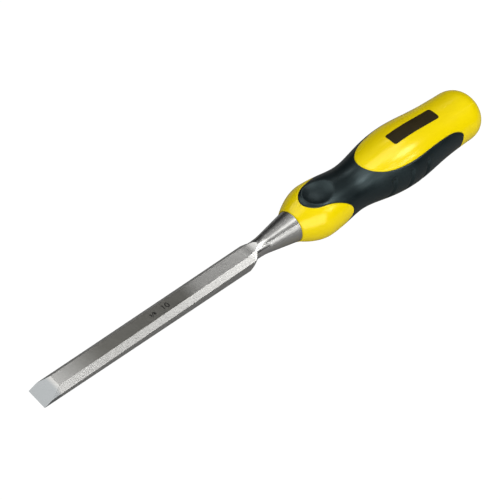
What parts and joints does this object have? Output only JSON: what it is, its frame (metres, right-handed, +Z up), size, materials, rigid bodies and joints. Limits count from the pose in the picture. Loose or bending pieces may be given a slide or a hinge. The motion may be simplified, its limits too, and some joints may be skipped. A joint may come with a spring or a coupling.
{
  "type": "bench chisel",
  "caption": "Bench chisel: bevel-edge steel blade with conical bolster and hidden tang, in a waisted hard plastic handle with an overmoulded soft grip and thumb dish.",
  "frame": {"origin": "on the bench, under the middle of the tool's bounding box, with the tool lying on its cutting edge and the belly of its handle", "axes": "+X runs level from the cutting edge towards the butt, +Z is up and is the bevelled side and the thumb's side; the handle's axis and the flat back rise 3 degrees towards the butt"},
  "size_m": [0.2442, 0.0302, 0.0302],
  "materials": {
    "blade_steel": "ground and brushed",
    "handle_plastic": "gloss moulded",
    "grip_rubber": "fine matt",
    "label_print": "printed foil"
  },
  "bodies": {
    "root": {"blade": "blade_steel", "handle_core": "handle_plastic", "soft_grip": "grip_rubber", "label_panel": "label_print"}
  },
  "joints": []
}
